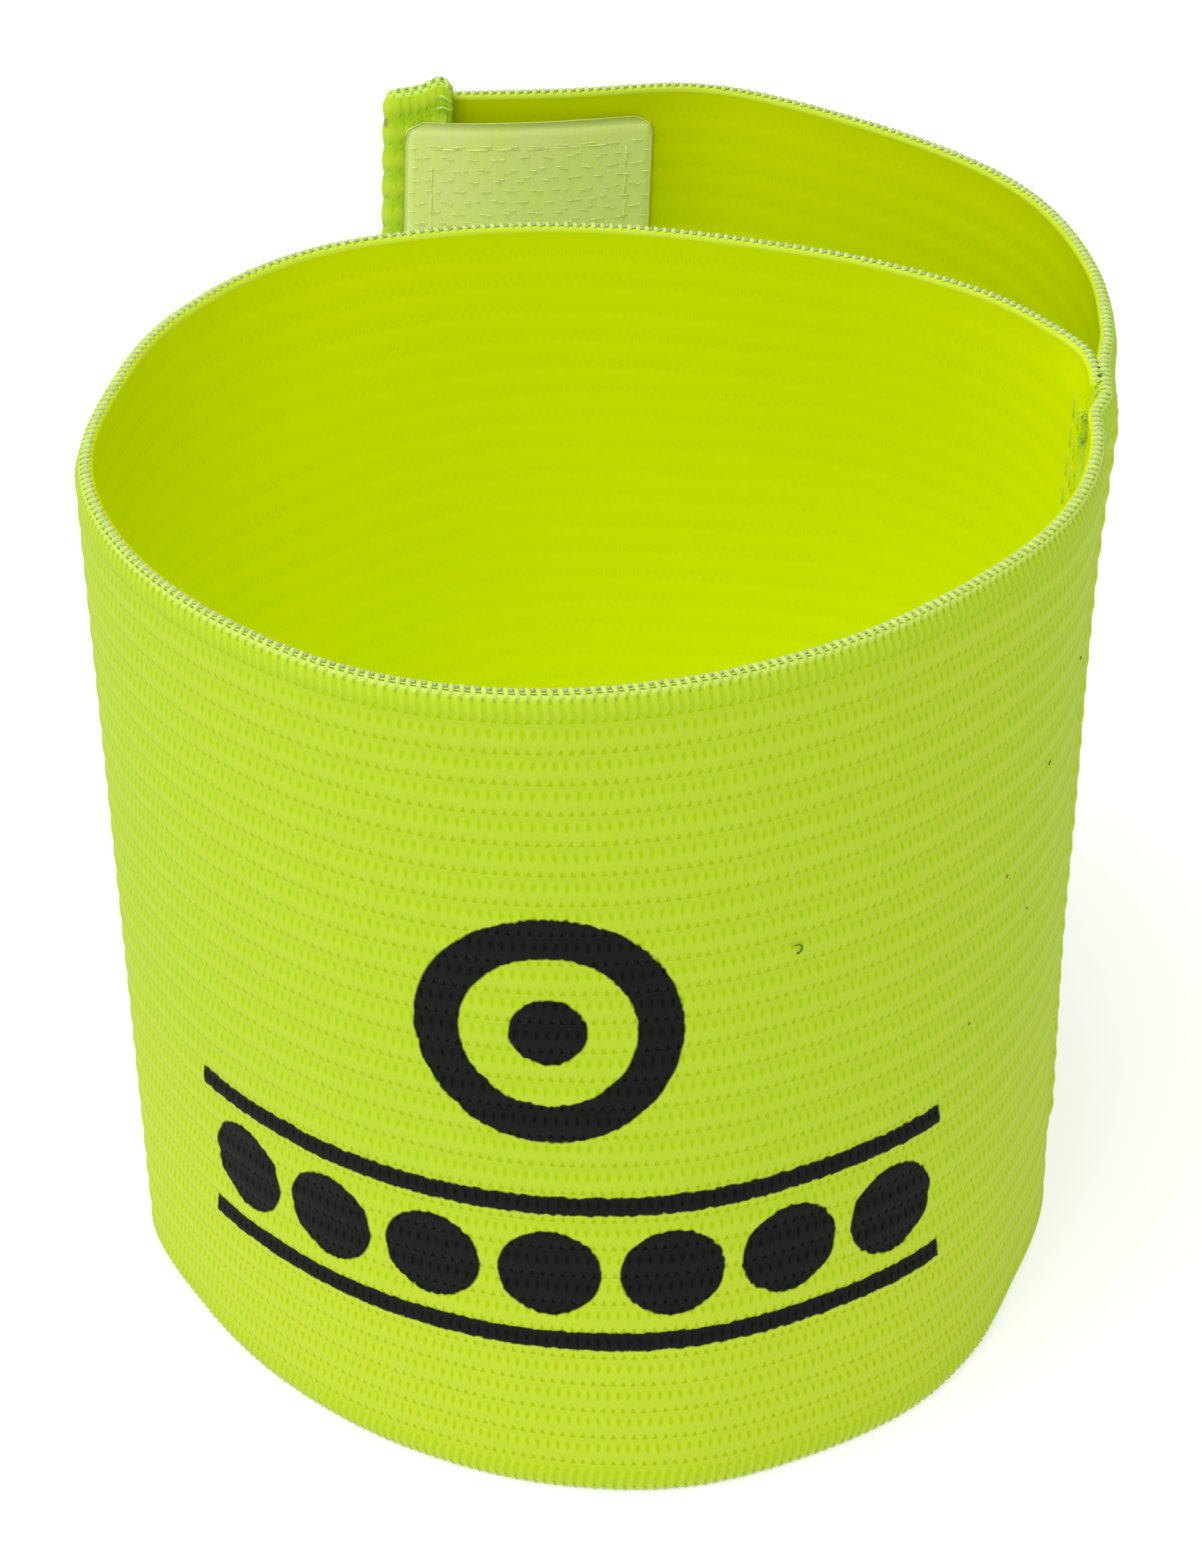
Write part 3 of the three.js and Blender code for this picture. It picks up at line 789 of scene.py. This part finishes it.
def make_frayed_end(material):
    """Loose thread ends along the cut inner end, with two thicker tufts near the rim."""
    count = FRAY_COUNT
    height = RANDOM.uniform(0.01, 0.99, count)
    tuft = RANDOM.random(count) < 0.3
    height = np.where(tuft, RANDOM.choice(TUFT_HEIGHTS, count) + RANDOM.normal(0, 0.004, count), height)
    out = RANDOM.uniform(-STRIP_THICK / 2, STRIP_THICK / 2, count)
    reach = RANDOM.uniform(0.12, 0.35, count) * np.where(tuft, 2.0, 1)
    root = STRIP.point(0.05, height, out)
    ahead = root - STRIP.point(1.05, height, out)
    inward = STRIP.point(0.05, height, out - 1) - root
    curl = RANDOM.normal(0, 1, (count, 1)) * [[0, 0, MM * 0.12]]
    share = np.linspace(0, 1, 4)[None, :, None]
    away = ahead * reach[:, None]
    bend = inward * (reach * RANDOM.uniform(0.0, 0.9, count))[:, None] + curl
    paths = root[:, None] + away[:, None] * share + bend[:, None] * share**2
    points, faces = sweep_tubes(paths, FRAY_RADIUS * MM, 4)
    return finish_piece(make_mesh("frayed_end", points, faces), material)


def make_hem_stitches(material):
    """The stitches that hold the hem: an upright row on both faces."""
    lows = np.arange(2.5, STRIP_HEIGHT - 4.0, STITCH_PITCH) / STRIP_HEIGHT
    highs = lows + STITCH_LENGTH / STRIP_HEIGHT
    threads = []
    for length, way in ((STRIP.fold - HEM_ROW, 1), (STRIP.fold + 2.7 + HEM_ROW, 1)):
        out = way * (STRIP_THICK / 2 - STITCH_LIFT)
        starts = STRIP.point(length, lows, out)
        ends = STRIP.point(length, highs, out)
        rise = STRIP.point(length, lows, out + way * STITCH_LIFT) - starts
        threads.append(stitch_line(starts, ends, rise))
    points, faces = sweep_tubes(np.concatenate(threads), STITCH_RADIUS * MM, 6)
    return finish_piece(make_mesh("hem_stitches", points, faces), material)


def make_hem_threads(material):
    """Overcast threads along the flap's cut edge."""
    threads = []
    for height in np.arange(0.02, 0.99, OVERCAST_PITCH):
        away = RANDOM.uniform(0.4, 0.9)
        lengths = STRIP.end - 0.4 + np.linspace(-away, away, 6)
        heights = height + np.linspace(0, RANDOM.normal(0, 0.008), 6)
        out = STRIP_THICK / 2 + 0.1 * np.sin(np.linspace(0, np.pi, 6)) - 0.04
        threads.append(STRIP.point(np.minimum(lengths, STRIP.end - 0.02), np.minimum(heights, 0.998), out))
    points, faces = sweep_tubes(np.array(threads), OVERCAST_RADIUS * MM, 5)
    return finish_piece(make_mesh("hem_overcast", points, faces), material)


def patch_out(along):
    """How far the patch's middle lies in from the tail's middle: it climbs onto the hem near the tail's end."""
    on_tail = STRIP_THICK / 2 + 0.1 + PATCH_THICK / 2
    hem_edge = TAIL_LENGTH - HEM_WIDTH - LAYER_GAP
    climb = smoothstep(along, hem_edge - PATCH_STEP, hem_edge + 0.4)
    return -(on_tail + climb * LAYER_STEP)


def patch_point(across, up, out=0.0):
    """Across from -1 at the loop's side to 1 at the tail's end, up from -1 to 1; out is towards the loop."""
    width = PATCH_WIDTH / 2
    middle = TAIL_LENGTH - PATCH_INSET - width
    top = STRIP_HEIGHT - PATCH_MARGIN - PATCH_TILT * (1 - across) / 2
    low = PATCH_MARGIN
    height = (low + (top - low) * (up + 1) / 2) / STRIP_HEIGHT
    along = middle + width * across
    return STRIP.point(STRIP.seam + along, height, patch_out(along) - out)


def patch_grid(across_count, up_count):
    """Across and up over the patch, drawn in at its rounded corners."""
    across, up = np.meshgrid(np.linspace(-1, 1, across_count), np.linspace(-1, 1, up_count), indexing="ij")
    from_end = np.clip((1 - np.abs(up)) * (STRIP_HEIGHT / 2 - PATCH_MARGIN), 0, PATCH_CORNER)
    draw = PATCH_CORNER - np.sqrt(PATCH_CORNER**2 - (PATCH_CORNER - from_end) ** 2)
    return across * (1 - draw / (PATCH_WIDTH / 2)), up


def make_patch(material):
    across, up = patch_grid(49, 97)
    border = np.minimum((1 - np.abs(across)) * PATCH_WIDTH / 2, (1 - np.abs(up)) * STRIP_HEIGHT / 2)
    front = patch_point(across, up, PATCH_THICK * (smoothstep(border, -0.1, PATCH_BEVEL) - 0.5))
    back = patch_point(across, up, -PATCH_THICK / 2)
    rows, columns = across.shape
    quads = np.array(grid_faces(rows, columns))
    count = rows * columns
    outline = np.concatenate([
        np.arange(columns),
        np.arange(1, rows) * columns + columns - 1,
        (rows - 1) * columns + np.arange(columns - 2, -1, -1),
        np.arange(rows - 2, 0, -1) * columns,
    ])
    after = np.roll(outline, -1)
    faces = quads[:, ::-1].tolist() + (quads + count).tolist()
    faces += np.stack([outline, after, after + count, outline + count], -1).tolist()
    points = np.concatenate([front.reshape(-1, 3), back.reshape(-1, 3)])
    patch = make_mesh("hook_tape", points, faces)
    layout = np.stack([across.ravel() * PATCH_WIDTH / 2, up.ravel() * STRIP_HEIGHT / 2], -1)
    add_map(patch, np.concatenate([layout, layout]))
    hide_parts("hook_patch")
    return finish_piece(patch, material)


def make_hooks(material):
    """Rows of small hooks that lean to one side and the other in turn."""
    across_at = np.arange(-PATCH_WIDTH / 2 + 0.9, PATCH_WIDTH / 2 - 0.6, HOOK_PITCH)
    up_at = np.arange(-0.965, 0.965, 2 * HOOK_PITCH / STRIP_HEIGHT)
    across, up = (part.ravel() for part in np.meshgrid(across_at, up_at, indexing="ij"))
    across = across + RANDOM.normal(0, 0.12, across.shape)
    up = up + RANDOM.normal(0, 0.003, up.shape)
    lean = np.where(np.arange(len(across)) % 2 == 0, 1.0, -1.0)
    turn = np.radians(np.linspace(0, 190, 6))
    along = across[:, None] + lean[:, None] * (0.28 * (1 - np.cos(turn)))
    out = PATCH_THICK / 2 + 0.06 * np.linspace(0, 1, 6) + 0.07 * np.sin(turn)
    paths = patch_point(np.clip(along / (PATCH_WIDTH / 2), -0.985, 0.985), up[:, None], out)
    points, faces = sweep_tubes(paths, HOOK_RADIUS * MM, 4)
    return finish_piece(make_mesh("hooks", points, faces), material)


def make_patch_stitches(material):
    """The row of stitches round the patch, a little in from its border."""
    half_width = PATCH_WIDTH / 2 - PATCH_ROW
    half_height = STRIP_HEIGHT / 2 - PATCH_MARGIN - PATCH_ROW
    corners = np.array([(-1, -1), (1, -1), (1, 1), (-1, 1), (-1, -1)]) * [half_width, half_height]
    starts, ends = [], []
    for begin, finish in zip(corners[:-1], corners[1:]):
        size = np.linalg.norm(finish - begin)
        places = np.arange(0.3, size - STITCH_LENGTH, STITCH_PITCH) / size
        reach = STITCH_LENGTH / size
        starts += [begin + (finish - begin) * at for at in places]
        ends += [begin + (finish - begin) * (at + reach) for at in places]
    scale = np.array([PATCH_WIDTH / 2, STRIP_HEIGHT / 2 - PATCH_MARGIN])
    share = np.linspace(0, 1, 5)[None, :, None]
    route = (np.array(starts)[:, None] * (1 - share) + np.array(ends)[:, None] * share) / scale
    out = PATCH_THICK / 2 - 0.02 + 0.05 * np.sin(np.pi * share[..., 0])
    paths = patch_point(route[..., 0], route[..., 1], out)
    points, faces = sweep_tubes(paths, PATCH_STITCH_RADIUS * MM, 6)
    return finish_piece(make_mesh("patch_stitches", points, faces), material)


def make_lint(material):
    """Specks and short curled fibres caught on the outer face."""
    threads = []
    for length, height, size, turn in LINT_TABLE:
        angle = np.linspace(0, turn, 9)
        along = length + size * np.sin(angle)
        up = height + size * (1 - np.cos(angle)) * 0.8 / STRIP_HEIGHT
        threads.append(STRIP.point(along, up, STRIP_THICK / 2 + 0.06))
    points, faces = sweep_tubes(np.array(threads), 0.045 * MM, 4)
    return finish_piece(make_mesh("lint", points, faces), material)


def front_length():
    """Where along the strip the printed mark's middle is, at the front of the loop."""
    lengths = np.linspace(STRIP.lap, STRIP.step, 2000)
    across = STRIP.point(lengths, 0.4)
    ahead = across[:, 1] < np.median(across[:, 1])
    middle = MARK_ACROSS * MM - STRIP.middle[0] * MM
    return lengths[ahead][np.argmin(np.abs(across[ahead, 0] - middle))]


MARK_ACROSS = -4.5

# The whip stitches, the dots between them and the sewing, in millimetres
WHIP_SLANT = 0.5
WHIP_DEPTH = 0.40
WHIP_RISE = 0.25
WHIP_REACH = 0.42
WHIP_RADIUS = 0.28
WHIP_INNER_SHARE = 0.75
DOT_LENGTH = 0.34
DOT_DEPTH = 0.05
DOT_SIZE = 0.15
STITCH_PITCH = 2.7
STITCH_LENGTH = 2.1
STITCH_RADIUS = 0.1
SEAM_ROWS = (0.3, 0.75)
TACK_COUNT = 3
TACK_REACH = 0.45
TACK_RADIUS = 0.1
TACK_PITCH = 1.3
FRAY_COUNT = 260
FRAY_RADIUS = 0.05
OVERCAST_PITCH = 0.0155
OVERCAST_RADIUS = 0.13
PATCH_STITCH_RADIUS = 0.07
STITCH_LIFT = 0.05
TUFT_HEIGHTS = (0.955, 0.928)
HEM_ROW = 4.3
PATCH_ROW = 2.5
HOOK_PITCH = 1.15
HOOK_RADIUS = 0.045

# Lint: how far along the strip, the share of the height, its size and how far it curls
LINT_TABLE = [
    (232.0, 0.78, 0.32, 1.0),
    (224.0, 0.71, 0.25, 2.0),
    (217.0, 0.62, 0.28, 1.4),
    (221.0, 0.55, 0.3, 0.8),
    (212.0, 0.47, 0.25, 1.2),
    (194.0, 0.66, 0.5, 3.6),
]


FLOOR_GLOW = 0.6


def make_floor():
    material, tree, shader = new_material("white_floor")
    shader.inputs["Base Color"].default_value = (0.5, 0.5, 0.5, 1)
    shader.inputs["Emission Color"].default_value = (1, 1, 1, 1)
    shader.inputs["Emission Strength"].default_value = FLOOR_GLOW
    shader.inputs["Roughness"].default_value = 0.9
    shader.inputs["Specular IOR Level"].default_value = 0.0
    half = 6.0
    floor = make_mesh("floor", [(-half, -half, 0), (half, -half, 0), (half, half, 0), (-half, half, 0)],
        [(0, 1, 2, 3)])
    floor.location.z = -0.02 * MM
    floor.data.materials.append(material)


def make_light():
    world = bpy.data.worlds.new("studio")
    bpy.context.scene.world = world
    world.use_nodes = True
    background = world.node_tree.nodes["Background"]
    background.inputs["Color"].default_value = (1, 1, 1, 1)
    background.inputs["Strength"].default_value = 0.40
    for name, place, size, power in (
        ("top_light", (-0.3, -0.2, 1.3), 1.4, 20.0),
        ("front_light", (-0.5, -1.3, 0.45), 1.2, 1.8),
    ):
        light = bpy.data.lights.new(name, "AREA")
        light.size = size
        light.energy = power
        lamp = bpy.data.objects.new(name, light)
        lamp.location = place
        lamp.rotation_euler = (Vector((0, 0, 0.03)) - Vector(place)).to_track_quat("-Z", "Y").to_euler()
        bpy.context.collection.objects.link(lamp)


def make_camera():
    data = bpy.data.cameras.new("camera")
    data.sensor_width = SENSOR
    data.lens = CAMERA_LENS
    camera = bpy.data.objects.new("camera", data)
    centre = Vector((-STRIP.middle[0], -STRIP.middle[1], 0))
    camera.location = (centre + Vector(CAMERA_PLACE)) * MM
    camera.rotation_euler = (math.radians(90 - CAMERA_DOWN), 0, 0)
    data.clip_start = 0.01
    bpy.context.collection.objects.link(camera)
    bpy.context.scene.camera = camera


make_camera()
make_light()
make_floor()
elastic = elastic_material(front_length())
band = make_band(elastic)
pale_thread = thread_material("pale_thread", PALE)
core = thread_material("core", DOT, 0.35)
hook_tape = patch_material()
hooks = thread_material("hook_plastic", HOOK, 0.4)
trims = [make_seam_stitches(pale_thread), make_seam_tack(pale_thread), make_frayed_end(pale_thread)]
trims += [make_hem_stitches(pale_thread), make_hem_threads(pale_thread)]
for edge in ("rim", "foot"):
    trims += [make_edge_stitches(pale_thread, edge), make_edge_dots(core, edge)]
make_lint(thread_material("lint", LINT, 0.9))
patch = make_patch(hook_tape)
on_patch = [make_hooks(hooks), make_patch_stitches(hooks)]
bpy.context.scene.view_settings.view_transform = "Standard"
